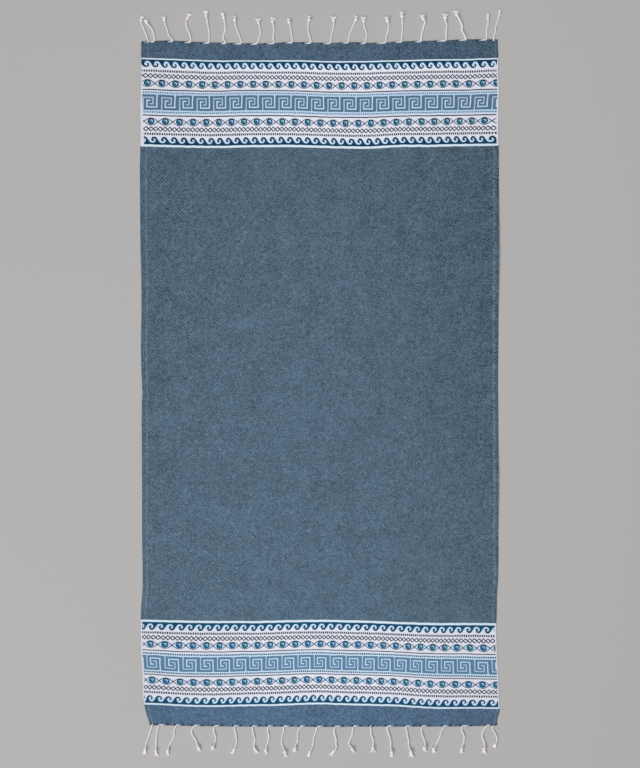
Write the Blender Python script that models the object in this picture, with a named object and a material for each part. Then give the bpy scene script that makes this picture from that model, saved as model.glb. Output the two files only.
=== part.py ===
"""A hammam towel laid out flat, face up: one cotton cloth with an uneven outline and low soft
swells, and at each end a fringe of knotted cords twisted from the cloth's own warp.

Metres.  +X runs across the towel, +Y along it towards its head end, +Z up.  The origin is
under the middle of the cloth, on the surface that the towel lies on.
"""

import math

import bmesh
import bpy
from mathutils import Vector

MM = 0.001

# The cloth: one woven sheet, its underside on the surface wherever no swell lifts it.
CLOTH_THICK = 1.2 * MM
CLOTH_LONG = 1724 * MM
CLOTH_COLUMNS = 20
CLOTH_ROWS = 46
ROW_CROWDING = 0.5  # how much closer the rows of faces lie near the two ends, 0 for evenly

# The selvedges, in millimetres: how far along from the towel's middle, and how far the left
# and the right selvedge lie from its centre line there.
SELVEDGES = [
    # along, left, right
    (-862, -428, 446),
    (-843, -435, 448),
    (-822, -443, 452),
    (-790, -444, 452),
    (-720, -447, 449),
    (-660, -449, 445),
    (-600, -450, 442),
    (-520, -449, 445),
    (-400, -448, 448),
    (-200, -448, 447),
    (0, -449, 448),
    (200, -450, 449),
    (400, -451, 448),
    (560, -450, 448),
    (620, -448, 449),
    (700, -452, 449),
    (780, -450, 448),
    (862, -449, 447),
]

# The two ends, in millimetres: how far across from the centre line, and how far along the
# head end and the foot end lie there.
ENDS = [
    # across, head, foot
    (-450, 862, -859),
    (-385, 865, -860),
    (-300, 861, -862),
    (-150, 858, -863),
    (-60, 861, -863),
    (20, 859, -864),
    (80, 861, -863),
    (140, 859, -863),
    (210, 863, -863),
    (300, 865, -863),
    (380, 868, -862),
    (450, 868, -860),
]

# Low swells where the cloth doesn't lie quite flat, in millimetres and degrees.  Each is a
# smooth oval mound; the two half sizes are taken along its own turned axes.
SWELLS = [
    # across, along, half_wide, half_long, high, turn
    (-150, 690, 330, 85, 2.6, 2),
    (260, 620, 240, 80, 3.0, -5),
    (-220, 470, 290, 90, 4.2, 4),
    (190, 370, 280, 85, 3.6, -4),
    (-260, 215, 240, 95, 3.8, -5),
    (300, 130, 190, 90, 3.4, 6),
    (-270, -60, 210, 85, 3.2, 5),
    (200, -170, 300, 80, 3.8, -3),
    (-190, -300, 300, 85, 4.4, 3),
    (230, -420, 290, 80, 4.6, -4),
    (-120, -520, 320, 80, 3.8, 2),
    (130, -700, 330, 85, 2.8, -2),
    (455, 330, 70, 190, 4.5, 0),
    (-455, -150, 65, 170, 4.0, 0),
    (455, -250, 60, 150, 3.6, 0),
]

# The fringes: a strip of drawn-in warp along the cloth's end, and the cords that grow out of it.
GAP = 0.3 * MM  # between the cloth and each fringe
STRIP_DEEP = 2.0 * MM
STRIP_HIGH = 1.2 * MM
ROOT_IN_STRIP = 1.3 * MM  # how far outside the strip's inner face a cord starts
CORD_SIDES = 6
BEND_NEAR = 0.30  # the two places along a cord where the tables below give its bend
BEND_FAR = 0.65

# One cord from root to tip, in millimetres: its share of the way, its width and its height
# there, and how far its underside is off the surface.
CORD_SECTIONS = [
    # share, wide, high, under
    (0.00, 2.6, 2.4, 0.15),
    (0.08, 3.8, 3.4, 0.05),
    (0.30, 3.8, 3.4, 0.0),
    (0.52, 3.8, 3.4, 0.0),
    (0.70, 4.2, 3.8, 0.0),
    (0.75, 8.0, 6.4, 0.0),
    (0.83, 8.0, 6.4, 0.0),
    (0.88, 4.6, 4.0, 0.0),
    (1.00, 6.6, 2.6, 0.0),
]

# The cords of each fringe from left to right, in millimetres: where the root lies across the
# towel, how far the tip reaches out from the cloth and how far it leans to the right, and how
# far the cord bends to the right of a straight line near its root and nearer its tip.
HEAD_CORDS = [
    # across, reach, lean, near, far
    (-433, 61, -14, 0, -3),
    (-417, 52, -19, 5, 5),
    (-371, 59, -20, -4, -3),
    (-326, 69, -3, 0, -8),
    (-280, 78, -6, 3, 1),
    (-238, 74, -6, -3, 4),
    (-198, 67, -16, 0, -3),
    (-158, 61, 4, 4, 6),
    (-116, 62, -2, 0, 1),
    (-70, 58, -8, 2, 0),
    (-23, 65, -4, -3, -4),
    (26, 65, 9, 2, 3),
    (71, 65, 20, -2, -3),
    (114, 63, -2, 5, 1),
    (165, 63, 5, 3, 5),
    (206, 73, 1, 2, 2),
    (254, 64, 4, 3, 8),
    (317, 65, -2, 3, 4),
    (367, 71, -23, -1, 2),
    (419, 63, 5, -1, 0),
    (437, 72, 13, -1, 1),
]
FOOT_CORDS = [
    # across, reach, lean, near, far
    (-423, 72, -17, 1, 0),
    (-407, 76, -3, -1, -2),
    (-363, 73, -20, 2, -2),
    (-319, 62, 17, -6, -4),
    (-267, 59, -2, 2, 6),
    (-217, 67, -4, 6, 10),
    (-171, 66, 14, 0, -3),
    (-131, 68, -4, 4, 1),
    (-92, 75, 8, -3, -6),
    (-50, 63, -13, 0, 2),
    (-8, 73, -21, 2, 2),
    (37, 70, -11, 6, 11),
    (84, 66, 5, -4, -10),
    (127, 63, 9, 1, 3),
    (169, 75, 13, 2, 2),
    (215, 75, 10, 4, 5),
    (256, 61, 8, 0, 5),
    (310, 65, -24, 1, 0),
    (357, 66, 1, 5, 5),
    (419, 67, -11, -6, 2),
    (436, 54, 2, 6, 8),
]

CLOTH_BLUE = (0.085, 0.135, 0.190, 1.0)
CORD_WHITE = (0.730, 0.700, 0.690, 1.0)


def smooth_read(table, place, column):
    """A value of the table at a place between its rows, on a smooth curve through them."""
    last = len(table) - 1
    row = 0
    while row < last - 1 and place > table[row + 1][0]:
        row += 1
    before, start = table[max(row - 1, 0)], table[row]
    end, after = table[row + 1], table[min(row + 2, last)]
    span = end[0] - start[0]
    t = min(max((place - start[0]) / span, 0.0), 1.0)
    slope_in = (end[column] - before[column]) / (end[0] - before[0]) * span
    slope_out = (after[column] - start[column]) / (after[0] - start[0]) * span
    rise = end[column] - start[column]
    bulge = (slope_in * (1 - t) - slope_out * t) + rise * (2 * t - 1)
    return start[column] + rise * t + t * (1 - t) * bulge


def end_line(across, column):
    """How far along the towel an end of the cloth lies: column 1 the head, 2 the foot."""
    return smooth_read(ENDS, across / MM, column) * MM


def cloth_place(u, v):
    """The point of the cloth at share u of its width and v of its length, seen from above."""
    level = (v - 0.5) * CLOTH_LONG / MM
    left = smooth_read(SELVEDGES, level, 1)
    right = smooth_read(SELVEDGES, level, 2)
    across = (left + (right - left) * u) * MM
    head = end_line(across, 1)
    foot = end_line(across, 2)
    return across, foot + (head - foot) * v


def swell_height(x, y):
    """How high the swells lift the cloth's underside at one point."""
    height = 0.0
    for across, along, half_wide, half_long, high, turn in SWELLS:
        dx, dy = x / MM - across, y / MM - along
        c, s = math.cos(math.radians(turn)), math.sin(math.radians(turn))
        out = math.hypot((dx * c + dy * s) / half_wide, (dy * c - dx * s) / half_long)
        if out < 1.0:
            height += high * MM * math.cos(math.pi / 2 * out) ** 2
    return height


def new_material(name, colour, roughness):
    """A plain finish of one colour."""
    material = bpy.data.materials.new(name)
    material.use_nodes = True
    shader = material.node_tree.nodes["Principled BSDF"]
    shader.inputs["Base Color"].default_value = colour
    shader.inputs["Roughness"].default_value = roughness
    shader.inputs["Metallic"].default_value = 0.0
    return material


def new_object(name, bm, material=None):
    """An object of the finished bmesh, linked to the scene."""
    mesh = bpy.data.meshes.new(name)
    bm.to_mesh(mesh)
    bm.free()
    if material:
        mesh.materials.append(material)
    piece = bpy.data.objects.new(name, mesh)
    bpy.context.collection.objects.link(piece)
    return piece


def sheet(name, columns, rows, place, thick, material=None):
    """A sheet of the given thickness, standing on the surface that place(u, v) describes."""
    bm = bmesh.new()
    bmesh.ops.create_grid(bm, x_segments=columns, y_segments=rows, size=0.5)
    for vert in bm.verts:
        vert.co = Vector(place(vert.co.x + 0.5, vert.co.y + 0.5))
    piece = new_object(name, bm, material)
    solidify = piece.modifiers.new("thickness", "SOLIDIFY")
    solidify.thickness = thick
    solidify.offset = 1.0
    return piece


def make_cloth():
    """The one woven sheet, selvedge to selvedge and end to end."""

    def lie(u, v):
        v -= ROW_CROWDING * math.sin(2 * math.pi * v) / (2 * math.pi)
        x, y = cloth_place(u, v)
        return x, y, swell_height(x, y)

    return sheet("cloth", CLOTH_COLUMNS, CLOTH_ROWS, lie, CLOTH_THICK, new_material(
        "woven_cotton", CLOTH_BLUE, 0.9))


def make_strip(name, outward, material):
    """The drawn-in warp along one end: a thin strip that follows the cloth's end."""
    end = 1.0 if outward > 0 else 0.0

    def lie(u, v):
        x, y = cloth_place(u, end)
        if outward > 0:
            return x, y + GAP + STRIP_DEEP * v, 0.0
        return x, y - GAP - STRIP_DEEP * (1.0 - v), 0.0

    return sheet(name, CLOTH_COLUMNS, 1, lie, STRIP_HIGH, material)


def bend(t, near, far):
    """How far a cord lies off its straight line at share t: 0 at both of its ends."""
    a, b = BEND_NEAR, BEND_FAR
    first = near * t * (t - b) * (t - 1) / (a * (a - b) * (a - 1))
    return first + far * t * (t - a) * (t - 1) / (b * (b - a) * (b - 1))


def cord_point(cord, outward, t):
    """The middle line of one cord, seen from above, at share t from its root to its tip."""
    across, reach, lean, near, far = (value * MM for value in cord)
    column = 1 if outward > 0 else 2
    start = abs(end_line(across, column)) + GAP + ROOT_IN_STRIP
    return Vector((across + lean * t + bend(t, near, far), outward * (start + reach * t), 0.0))


def add_cord(bm, cord, outward):
    """One cord with its knot and tuft, as a closed tube lying on the surface."""
    rings = []
    for share, wide, high, under in CORD_SECTIONS:
        here = cord_point(cord, outward, share)
        ahead = cord_point(cord, outward, share + 0.01) - cord_point(cord, outward, share - 0.01)
        side = ahead.cross(Vector((0, 0, 1))).normalized()
        ring = []
        for k in range(CORD_SIDES):
            angle = 2 * math.pi * k / CORD_SIDES
            up = 0.5 * (1 + math.sin(angle) / math.sin(math.pi / 3))
            point = here + side * (0.5 * wide * MM * math.cos(angle))
            point.z = (under + high * up) * MM
            ring.append(bm.verts.new(point))
        rings.append(ring)
    for ring, following in zip(rings, rings[1:]):
        for k in range(CORD_SIDES):
            n = (k + 1) % CORD_SIDES
            bm.faces.new((ring[k], ring[n], following[n], following[k]))
    bm.faces.new(rings[0])
    bm.faces.new(rings[-1])


def make_fringe(name, outward, cords):
    """One comb: the strip along the cloth's end, joined with the cords that grow out of it."""
    material = new_material(name + "_cotton", CORD_WHITE, 0.85)
    fringe = make_strip(name, outward, material)
    bm = bmesh.new()
    for cord in cords:
        add_cord(bm, cord, outward)
    bmesh.ops.recalc_face_normals(bm, faces=bm.faces)
    loose = new_object(name + "_cords", bm, material)
    loose.hide_render = True
    loose.display_type = "WIRE"
    joined = fringe.modifiers.new("cords", "BOOLEAN")
    joined.operation = "UNION"
    joined.solver = "EXACT"
    joined.object = loose
    return fringe


for old in list(bpy.data.objects):
    bpy.data.objects.remove(old, do_unlink=True)

make_cloth()
make_fringe("fringe_head", 1, HEAD_CORDS)
make_fringe("fringe_foot", -1, FOOT_CORDS)
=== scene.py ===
"""A hammam towel laid out flat, face up, with a printed border band near each end and a fringe
of knotted cords along both ends: how it looks.

Metres.  +X runs across the towel, +Y towards its head end, +Z up out of the printed face.
"""

import math
from functools import partialmethod

import bpy
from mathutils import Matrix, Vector, noise


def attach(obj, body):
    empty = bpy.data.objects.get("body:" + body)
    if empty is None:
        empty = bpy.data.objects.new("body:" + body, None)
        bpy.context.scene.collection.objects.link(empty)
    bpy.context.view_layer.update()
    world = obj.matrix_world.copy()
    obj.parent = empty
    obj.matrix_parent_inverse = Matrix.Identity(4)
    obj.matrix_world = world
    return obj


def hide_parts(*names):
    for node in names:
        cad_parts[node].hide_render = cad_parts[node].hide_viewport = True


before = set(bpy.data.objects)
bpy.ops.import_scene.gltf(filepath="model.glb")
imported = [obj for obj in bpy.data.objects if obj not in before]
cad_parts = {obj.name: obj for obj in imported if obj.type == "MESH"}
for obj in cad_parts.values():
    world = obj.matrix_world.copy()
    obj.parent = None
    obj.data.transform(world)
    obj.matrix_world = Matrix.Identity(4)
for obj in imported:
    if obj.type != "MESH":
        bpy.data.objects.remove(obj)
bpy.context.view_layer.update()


# ---------- The cloth ----------
#
# One length of cotton, woven to its full width in a small diamond weave of pale warp and blue
# weft, with a selvedge down each long side and both ends left as they came off the loom.  A
# border band is printed near each end, on this face only.  It lies on the floor in low swells.

MM = 0.001

CLOTH_THICK = 1.2
FLAT_WIDE = 898.0
FLAT_LONG = 1724.0
RIM_BULGE = 0.3  # how far the selvedges and ends bulge at half their thickness
WRINKLE_HIGH = 0.5  # the small wrinkles on the swells
WRINKLES_ACROSS = 0.011  # how many to the millimetre
WRINKLES_ALONG = 0.016
WRINKLE_SEED = 3.0

# The lines of the mesh across and along the flat cloth, in millimetres: where a stretch of
# cells starts, and how many it has.  The outer cells are narrow and round the edges off.
CELLS_ACROSS = [(-449.0, 1), (-447.5, 128), (447.5, 1), (449.0, 0)]
CELLS_ALONG = [
    (-862.0, 1), (-860.5, 38), (-596.0, 85), (0.0, 85), (596.0, 38), (860.5, 1), (862.0, 0)
]

# The selvedges, in millimetres: how far along from the towel's middle, and how far the left
# and the right selvedge lie from its centre line there.
SELVEDGES = [
    # along, left, right
    (-862, -428, 446),
    (-843, -435, 447),
    (-822, -441.5, 452.5),
    (-790, -446, 451.5),
    (-743, -447, 450),
    (-693, -450, 447.5),
    (-643, -451, 445),
    (-592, -451.5, 444),
    (-555, -450, 445),
    (-517, -447, 446),
    (-480, -446.5, 448.5),
    (-441, -447, 449),
    (-391, -448, 449),
    (-290, -448, 449),
    (-164, -448, 449),
    (-60, -448.5, 449),
    (-20, -447.5, 448.5),
    (40, -450, 448.5),
    (110, -451, 449),
    (190, -449.5, 449.5),
    (265, -450, 450),
    (340, -452, 450.5),
    (441, -453, 450.5),
    (542, -453.5, 450.5),
    (592, -452.5, 450),
    (643, -452, 449),
    (700, -452.5, 450),
    (743, -450.5, 450.5),
    (790, -450.5, 448.5),
    (825, -450.5, 449),
    (862, -450, 447),
]
SELVEDGE_PULL = 150.0  # how far into the cloth a pulled selvedge draws it along

# The two ends, in millimetres: how far across from the centre line, and how far along the
# head end and the foot end lie there.
ENDS = [
    # across, head, foot
    (-450, 862, -859),
    (-385, 865, -860),
    (-300, 861, -862),
    (-150, 858, -863),
    (-60, 861, -863),
    (20, 859, -864),
    (80, 861, -863),
    (140, 859, -863),
    (210, 863, -863),
    (300, 865, -863),
    (380, 868, -862),
    (450, 868, -860),
]

# The edges and the middle lines of the two border bands as the cloth lies, in millimetres.  On
# the flat cloth they are straight, at the six places of BAND_FLAT.
BAND_LINES = [
    # across, head outer, middle, inner, foot inner, middle, outer
    (-445, 820.8, 711.1, 601.6, -596.7, -701.0, -805.2),
    (-410, 819.9, 710.2, 600.7, -597.4, -702.7, -806.6),
    (-369, 818.2, 708.4, 599.4, -598.5, -705.9, -808.7),
    (-328, 816.4, 707.7, 598.6, -599.2, -707.3, -810.8),
    (-287, 814.9, 706.8, 597.8, -599.9, -707.9, -811.7),
    (-246, 814.1, 707.3, 597.9, -600.0, -707.6, -811.3),
    (-205, 814.6, 708.5, 598.9, -599.9, -706.2, -810.4),
    (-164, 814.6, 708.9, 599.6, -600.4, -705.4, -809.3),
    (-123, 814.3, 708.6, 599.8, -599.5, -704.2, -808.9),
    (-82, 815.0, 708.3, 600.1, -598.0, -702.6, -807.7),
    (-41, 814.4, 707.2, 599.5, -597.6, -700.9, -806.0),
    (0, 813.0, 705.4, 598.2, -597.2, -700.7, -805.2),
    (41, 812.5, 704.7, 597.0, -597.7, -702.0, -806.4),
    (82, 812.5, 704.5, 596.2, -598.7, -703.0, -807.4),
    (123, 812.9, 704.8, 596.0, -599.7, -703.7, -808.5),
    (164, 814.1, 706.3, 598.1, -601.1, -704.9, -809.5),
    (205, 815.2, 707.7, 600.0, -602.8, -706.8, -810.9),
    (246, 815.9, 708.4, 600.2, -604.3, -709.3, -813.9),
    (287, 817.0, 709.0, 600.1, -605.2, -711.2, -815.9),
    (328, 817.8, 709.6, 601.4, -605.4, -711.9, -816.6),
    (369, 817.6, 710.1, 602.1, -605.0, -712.5, -816.1),
    (410, 819.5, 711.4, 602.8, -605.4, -713.6, -816.3),
    (445, 820.5, 712.0, 603.2, -605.6, -714.1, -816.6),
]
BAND_FLAT = (817.0, 708.0, 599.0, -596.0, -705.0, -814.0)

# How far to the right of its even place a point across the cloth lies, in millimetres, at the
# edges of the two bands, where the weave is pulled a little open or shut.
PULLED_ASIDE = [
    # across, head outer, head inner, foot inner, foot outer
    (-449, 0.0, 0.0, 0.0, 0.0),
    (-434, 2.3, 1.7, -3.0, -4.2),
    (-410, 4.7, 3.8, -1.7, -2.4),
    (-369, 6.2, 7.4, 2.9, 2.9),
    (-328, 7.8, 8.7, 5.4, 6.3),
    (-287, 7.9, 8.5, 7.4, 8.8),
    (-246, 7.1, 7.6, 7.7, 8.6),
    (-205, 6.5, 6.4, 7.2, 7.9),
    (-164, 6.1, 5.6, 6.5, 7.3),
    (-123, 5.6, 5.0, 5.8, 6.2),
    (-82, 5.0, 4.2, 4.9, 5.2),
    (-41, 4.1, 3.4, 4.1, 4.1),
    (0, 2.9, 2.9, 3.5, 3.4),
    (41, 1.7, 1.9, 2.5, 2.1),
    (82, 0.6, 1.0, 1.6, 1.2),
    (123, -0.5, 0.5, 0.8, 0.3),
    (164, -1.4, -0.3, 0.3, -1.2),
    (205, -2.3, -1.4, -0.4, -2.5),
    (246, -3.0, -2.6, -2.1, -3.6),
    (287, -3.5, -3.1, -4.3, -5.6),
    (328, -3.8, -4.1, -6.5, -6.2),
    (369, -3.2, -5.9, -7.4, -4.7),
    (410, 1.6, -9.3, -4.4, -0.8),
    (434, 2.8, -7.2, -2.3, 0.7),
    (449, 0.0, 0.0, 0.0, 0.0),
]
PULLED_AT = ((5, 4), (3, 3), (2, 2), (0, 1))  # which of BAND_FLAT each column belongs to

# Low swells where the cloth doesn't lie quite flat, in millimetres and degrees.  Each is a
# smooth oval mound; the two half sizes are taken along its own turned axes.
SWELLS = [
    # across, along, half_wide, half_long, high, turn
    (-150, 690, 330, 85, 2.6, 2),
    (260, 620, 240, 80, 3.0, -5),
    (-220, 470, 290, 90, 4.2, 4),
    (190, 370, 280, 85, 3.6, -4),
    (-260, 215, 240, 95, 3.8, -5),
    (300, 130, 190, 90, 3.4, 6),
    (-270, -60, 210, 85, 3.2, 5),
    (200, -170, 300, 80, 3.8, -3),
    (-190, -300, 300, 85, 4.4, 3),
    (230, -420, 290, 80, 4.6, -4),
    (-120, -520, 320, 80, 3.8, 2),
    (130, -700, 330, 85, 2.8, -2),
    (455, 330, 70, 190, 4.5, 0),
    (-455, -150, 65, 170, 4.0, 0),
    (455, -250, 60, 150, 3.6, 0),
]


def smooth_read(table, place, column=1):
    """A value of the table at a place between its rows, on a smooth curve through them."""
    last = len(table) - 1
    row = 0
    while row < last - 1 and place > table[row + 1][0]:
        row += 1
    before, start = table[max(row - 1, 0)], table[row]
    end, after = table[row + 1], table[min(row + 2, last)]
    span = end[0] - start[0]
    t = min(max((place - start[0]) / span, 0.0), 1.0)
    slope_in = (end[column] - before[column]) / (end[0] - before[0]) * span
    slope_out = (after[column] - start[column]) / (after[0] - start[0]) * span
    rise = end[column] - start[column]
    bulge = (slope_in * (1 - t) - slope_out * t) + rise * (2 * t - 1)
    return start[column] + rise * t + t * (1 - t) * bulge


def swell_height(x, y):
    """How high the swells lift the cloth's underside at one point, in millimetres."""
    height = 0.0
    for across, along, half_wide, half_long, high, turn in SWELLS:
        dx, dy = x - across, y - along
        c, s = math.cos(math.radians(turn)), math.sin(math.radians(turn))
        out = math.hypot((dx * c + dy * s) / half_wide, (dy * c - dx * s) / half_long)
        if out < 1.0:
            height += high * math.cos(math.pi / 2 * out) ** 2
    return height


def lie_across(s, t):
    """How far across the towel a point of the flat cloth lies."""
    pulls = [(BAND_FLAT[k], smooth_read(PULLED_ASIDE, s, c)) for k, c in PULLED_AT]
    pull_left = max(0.0, 1 - (s + FLAT_WIDE / 2) / SELVEDGE_PULL)
    pull_right = max(0.0, 1 - (FLAT_WIDE / 2 - s) / SELVEDGE_PULL)
    x = s + smooth_read(pulls, t)
    x += (smooth_read(SELVEDGES, t, 1) + FLAT_WIDE / 2) * pull_left
    return x + (smooth_read(SELVEDGES, t, 2) - FLAT_WIDE / 2) * pull_right


def lie_along(x, t):
    """How far along the towel a point of the flat cloth lies, once its x is known."""
    marks = [(-FLAT_LONG / 2, smooth_read(ENDS, x, 2))]
    for k in (5, 4, 3, 2, 1, 0):
        marks.append((BAND_FLAT[k], smooth_read(BAND_LINES, x, k + 1)))
    marks.append((FLAT_LONG / 2, smooth_read(ENDS, x, 1)))
    return smooth_read(marks, t)


def lie(s, t):
    """Where the underside of a point of the flat cloth lies, in millimetres."""
    x = lie_across(s, t)
    y = lie_along(x, t)
    wrinkle = noise.noise(Vector((x * WRINKLES_ACROSS, y * WRINKLES_ALONG, WRINKLE_SEED)))
    return Vector((x, y, swell_height(x, y) + WRINKLE_HIGH * max(0.0, wrinkle)))


def even_steps(first, last, count):
    """Places at even steps from the first to the last, count of them in all."""
    return [first + (last - first) * n / (count - 1) for n in range(count)]


def grid_lines(marks):
    """The places of the mesh's lines over all the stretches of cells."""
    lines = []
    for (start, cells), (end, _) in zip(marks, marks[1:]):
        lines += even_steps(start, end, cells + 1)[:-1]
    return lines + [marks[-1][0]]


# Where the parts of the cloth lie on its square of baked texture, in its 1024ths.  The bands
# get the most room, the plain middle is cut in two halves that lie side by side, and the back
# lies on its side in a narrow strip.
BAKE_SIDE = 1024.0
BAKE_FRONT = [
    # from and to along the flat cloth, then left, right, low and high on the square
    (-862.0, -596.0, (8, 1016, 552, 784)),
    (-596.0, 0.0, (516, 1016, 110, 546)),
    (0.0, 596.0, (8, 508, 110, 546)),
    (596.0, 862.0, (8, 1016, 790, 1020)),
]
BAKE_BACK = (8, 1016, 28, 104)

# Of each rim: which way it faces, and where it lies on the square
RIMS = {
    "foot": ((0, -1, 0), (8, 508, 20, 24)),
    "right": ((1, 0, 0), (8, 1016, 12, 16)),
    "head": ((0, 1, 0), (516, 1016, 20, 24)),
    "left": ((-1, 0, 0), (8, 1016, 4, 8)),
}
PRINTED, PLAIN = 0, 1  # the cloth's two finishes


def bake_place(chart, across_share, along_share):
    """A place on the baked texture, from its shares of the chart's width and height."""
    left, right, low, high = chart
    u = left + (right - left) * across_share
    return u / BAKE_SIDE, (low + (high - low) * along_share) / BAKE_SIDE


def front_bake_place(s, t, t_middle):
    """Where a corner of a face of the printed side lies; t_middle says which face it is."""
    for start, end, chart in BAKE_FRONT:
        if start < t_middle < end:
            return bake_place(chart, s / FLAT_WIDE + 0.5, (t - start) / (end - start))


def back_bake_place(s, t):
    return bake_place(BAKE_BACK, t / FLAT_LONG + 0.5, s / FLAT_WIDE + 0.5)


def placed(name, data):
    """A new object of the scene."""
    made = bpy.data.objects.new(name, data)
    bpy.context.collection.objects.link(made)
    return made


def make_cloth():
    """The sheet with its printed side, its underside and the rim between them."""
    across, along = grid_lines(CELLS_ACROSS), grid_lines(CELLS_ALONG)
    wide, long = len(across), len(along)
    flat = [(s, t) for t in along for s in across]
    verts = [lie(s, t) for s, t in flat]
    grid = wide * long
    verts += [point + Vector((0, 0, CLOTH_THICK)) for point in verts]
    flat += flat

    faces, looks, bake = [], [], []
    for j in range(long - 1):
        t_middle = (along[j] + along[j + 1]) / 2
        for i in range(wide - 1):
            corner = j * wide + i
            ring = [corner, corner + 1, corner + 1 + wide, corner + wide]
            back = ring[::-1]
            faces += [[grid + k for k in ring], back]
            looks += [PRINTED, PLAIN]
            bake.append([front_bake_place(*flat[k], t_middle) for k in ring])
            bake.append([back_bake_place(*flat[k]) for k in back])

    rims = {
        "foot": list(range(wide)),
        "right": [wide - 1 + j * wide for j in range(long)],
        "head": [grid - 1 - i for i in range(wide)],
        "left": [grid - wide - j * wide for j in range(long)],
    }
    outs = {}
    for name, rim in rims.items():
        for k in rim:
            outs[k] = outs.get(k, Vector()) + Vector(RIMS[name][0])
    middle = {}
    for k, out in outs.items():
        middle[k] = len(verts)
        bulge = out.normalized() * RIM_BULGE + Vector((0, 0, CLOTH_THICK / 2))
        verts.append(verts[k] + bulge)
        flat.append(flat[k])
    for name, rim in rims.items():
        ends = even_steps(0.0, 1.0, len(rim))
        for a, b, start, end in zip(rim, rim[1:], ends, ends[1:]):
            for ring, low in (
                ([a, b, middle[b], middle[a]], 0.0),
                ([middle[a], middle[b], grid + b, grid + a], 0.5),
            ):
                faces.append(ring)
                looks.append(PLAIN)
                shares = ((start, low), (end, low), (end, low + 0.5), (start, low + 0.5))
                bake.append([bake_place(RIMS[name][1], *share) for share in shares])

    mesh = bpy.data.meshes.new("towel_cloth")
    mesh.from_pydata([point * MM for point in verts], [], faces)
    mesh.polygons.foreach_set("material_index", looks)
    mesh.polygons.foreach_set("use_smooth", [True] * len(faces))
    print_map = mesh.uv_layers.new(name="print")
    print_map.data.foreach_set("uv", [c * MM for ring in faces for k in ring for c in flat[k]])
    bake_map = mesh.uv_layers.new(name="OFBake")
    bake_map.data.foreach_set("uv", [c for ring in bake for place in ring for c in place])
    mesh.update()
    return placed("towel_cloth", mesh)


cloth = make_cloth()


# The cloth's finish.  Everything is drawn on the flat cloth, in millimetres: s across from its
# middle and t along it, from the UV map "print".


def fill(tree, filled, inputs):
    """Gives a node its inputs: each is linked if it is a socket, and set if it isn't."""
    for key, value in inputs.items() if isinstance(inputs, dict) else enumerate(inputs):
        if isinstance(value, Level):
            value = value.socket
        if isinstance(value, bpy.types.NodeSocket):
            tree.links.new(value, filled.inputs[key])
        else:
            filled.inputs[key].default_value = value


def node(tree, kind, inputs=(), **settings):
    """Adds a node to the tree."""
    made = tree.nodes.new(kind)
    for name, value in settings.items():
        setattr(made, name, value)
    fill(tree, made, inputs)
    return made


class Level:
    """A number that changes from place to place, as a socket of a tree with arithmetic."""

    def __init__(self, tree, socket):
        self.tree = tree
        self.socket = socket

    def math(self, operation, *others):
        made = node(self.tree, "ShaderNodeMath", (self, *others), operation=operation)
        return Level(self.tree, made.outputs[0])

    __add__ = partialmethod(math, "ADD")
    __sub__ = partialmethod(math, "SUBTRACT")
    __rsub__ = partialmethod(math, "MULTIPLY_ADD", -1.0)
    __mul__ = partialmethod(math, "MULTIPLY")
    __gt__ = partialmethod(math, "GREATER_THAN")
    __lt__ = partialmethod(math, "LESS_THAN")
    near = partialmethod(math, "COMPARE")  # 1 where it is within a reach of a place
    vary = partialmethod(math, "MULTIPLY_ADD")  # by a strength, from a start

    def wrap(self, low, high):
        return self.math("WRAP", high, low)

    def choose(self, otherwise, chosen):
        """chosen where this is 1, and otherwise where it is 0."""
        made = node(self.tree, "ShaderNodeMix", {0: self, 2: otherwise, 3: chosen})
        return Level(self.tree, made.outputs[0])


def dye(red, green, blue):
    """A colour as it looks in soft daylight, 0 to 255, in the light's own measure."""
    shares = [value / 255 for value in (red, green, blue)]
    return (*(((c + 0.055) / 1.055) ** 2.4 if c > 0.04 else c / 12.92 for c in shares), 1.0)


def laid_over(tree, under, *layers):
    """The colour under, covered by each layer's colour as far as its share says."""
    for colour, share in layers:
        mixed = node(tree, "ShaderNodeMix", {0: share, 6: under, 7: colour}, data_type="RGBA")
        under = mixed.outputs[2]
    return under


def shaded(tree, colour, level):
    """The colour made darker below level 1 and lighter above it."""
    inputs = {0: level, 6: (0, 0, 0, 1), 7: colour}
    mixed = node(tree, "ShaderNodeMix", inputs, data_type="RGBA", clamp_factor=False)
    return mixed.outputs[2]


# Soft noises over the flat cloth: the size of the patches in millimetres, their detail, and
# which slice of the noise they are cut from, each SLICE apart
SLICE = 977.0
PATCHES = {
    "yarns wander": (24.0, 2.0, 4),
    "diamonds grow": (11.0, 3.0, 3),
    "warp shows": (36.0, 2.0, 6),
    "clouds": (45.0, 3.0, 1),
    "flecks": (4.0, 2.0, 2),
    "ink creeps": (18.0, 4.0, 5),
    "navy changes": (42.0, 2.0, 7),
}


def soft_noise(tree, s, t, name):
    """The node of a named noise; its values are about 0.5."""
    size, detail, slice_number = PATCHES[name]
    place = node(tree, "ShaderNodeCombineXYZ", (s, t, slice_number * SLICE))
    return node(tree, "ShaderNodeTexNoise", {
        "Vector": place.outputs[0], "Scale": 1 / size, "Detail": detail})


def patchy(tree, s, t, name):
    return Level(tree, soft_noise(tree, s, t, name).outputs["Fac"])


def patchy_pair(tree, s, t, name):
    """Two numbers that are patchy at different places."""
    noises = soft_noise(tree, s, t, name).outputs["Color"]
    parts = node(tree, "ShaderNodeSeparateColor", (noises,)).outputs
    return Level(tree, parts[0]), Level(tree, parts[1])


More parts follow.
